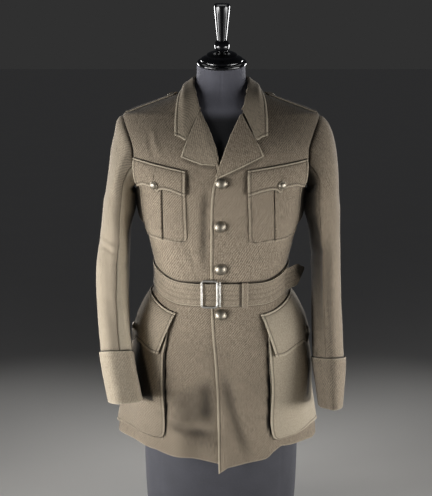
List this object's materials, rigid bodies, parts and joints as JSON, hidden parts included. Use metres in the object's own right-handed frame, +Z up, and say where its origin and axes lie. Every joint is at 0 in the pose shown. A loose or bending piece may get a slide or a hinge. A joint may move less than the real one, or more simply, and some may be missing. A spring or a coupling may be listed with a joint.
{
  "type": "military dress tunic on a limbless dress form",
  "caption": "Belted military dress tunic with notched collar, patch pockets, shoulder straps and turned-back cuffs, resting on a smooth limbless dress form with a turned neck cap.",
  "frame": {"origin": "centre of the form's flat underside, on the floor", "axes": "+Z up, the front of the tunic faces -Y, +X is the wearer's left"},
  "size_m": [0.5191, 0.3353, 1.0845],
  "materials": {
    "whipcord": "khaki-drab wool whipcord, matt, with a fine steep twill",
    "form_cover": "plain charcoal cotton jersey, matt",
    "black_lacquer": "turned wood, gloss black lacquer",
    "bronzed_metal": "domed, dull bronzed metal with worn bright tops",
    "nickel": "bright nickel plate"
  },
  "bodies": {
    "root": {"back_left": "whipcord", "back_right": "whipcord", "belt": "whipcord", "belt_loop": "whipcord", "breast_button_left": "bronzed_metal", "breast_button_right": "bronzed_metal", "breast_flap_left": "whipcord", "breast_flap_right": "whipcord", "breast_pocket_left": "whipcord", "breast_pocket_right": "whipcord", "buckle_bar": "nickel", "buckle_frame": "nickel", "collar_fall": "whipcord", "collar_stand": "whipcord", "cuff_left": "whipcord", "cuff_right": "whipcord", "form_torso": "form_cover", "front_button_1": "bronzed_metal", "front_button_2": "bronzed_metal", "front_button_3": "bronzed_metal", "front_button_4": "bronzed_metal", "front_left": "whipcord", "front_right": "whipcord", "lapel_left": "whipcord", "lapel_right": "whipcord", "neck_cap": "black_lacquer", "shoulder_strap_left": "whipcord", "shoulder_strap_right": "whipcord", "skirt_button_left": "bronzed_metal", "skirt_button_right": "bronzed_metal", "skirt_flap_left": "whipcord", "skirt_flap_right": "whipcord", "skirt_gusset_left": "whipcord", "skirt_gusset_right": "whipcord", "skirt_pocket_left": "whipcord", "skirt_pocket_right": "whipcord", "sleeve_forearm_left": "whipcord", "sleeve_forearm_right": "whipcord", "sleeve_top_left": "whipcord", "sleeve_top_right": "whipcord", "sleeve_under_left": "whipcord", "sleeve_under_right": "whipcord", "strap_button_left": "bronzed_metal", "strap_button_right": "bronzed_metal"}
  },
  "joints": []
}
